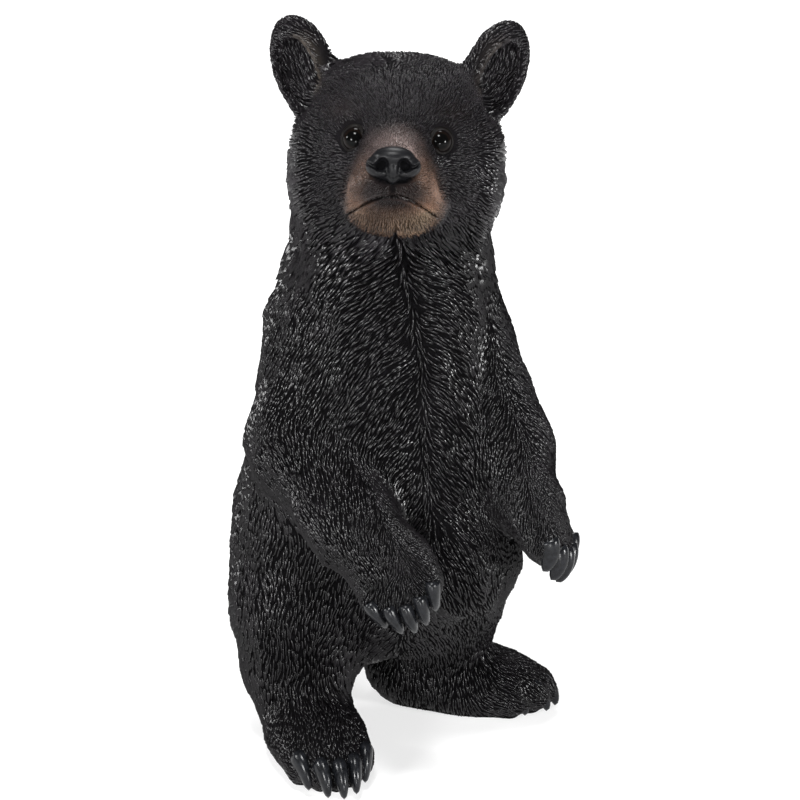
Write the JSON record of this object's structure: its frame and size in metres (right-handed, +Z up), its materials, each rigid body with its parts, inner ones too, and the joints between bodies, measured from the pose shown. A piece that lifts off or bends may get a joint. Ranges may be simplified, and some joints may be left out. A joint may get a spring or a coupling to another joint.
{
  "type": "bear cub statue",
  "caption": "Standing bear cub garden statue in cast resin with sculpted fur, horn-like claws and inset glossy eyes, resting on its own soles.",
  "frame": {"origin": "on the ground under the middle of the statue's outline", "axes": "+Z up through the head, -Y the way the chest faces, +X to the cub's left"},
  "size_m": [0.2132, 0.214, 0.4496],
  "materials": {
    "painted_resin": "cast resin painted near black, satin, with a brown muzzle",
    "eye_glass": "polished black"
  },
  "bodies": {
    "root": {"cub_casting": "painted_resin", "right_eye": "eye_glass", "left_eye": "eye_glass"}
  },
  "joints": []
}
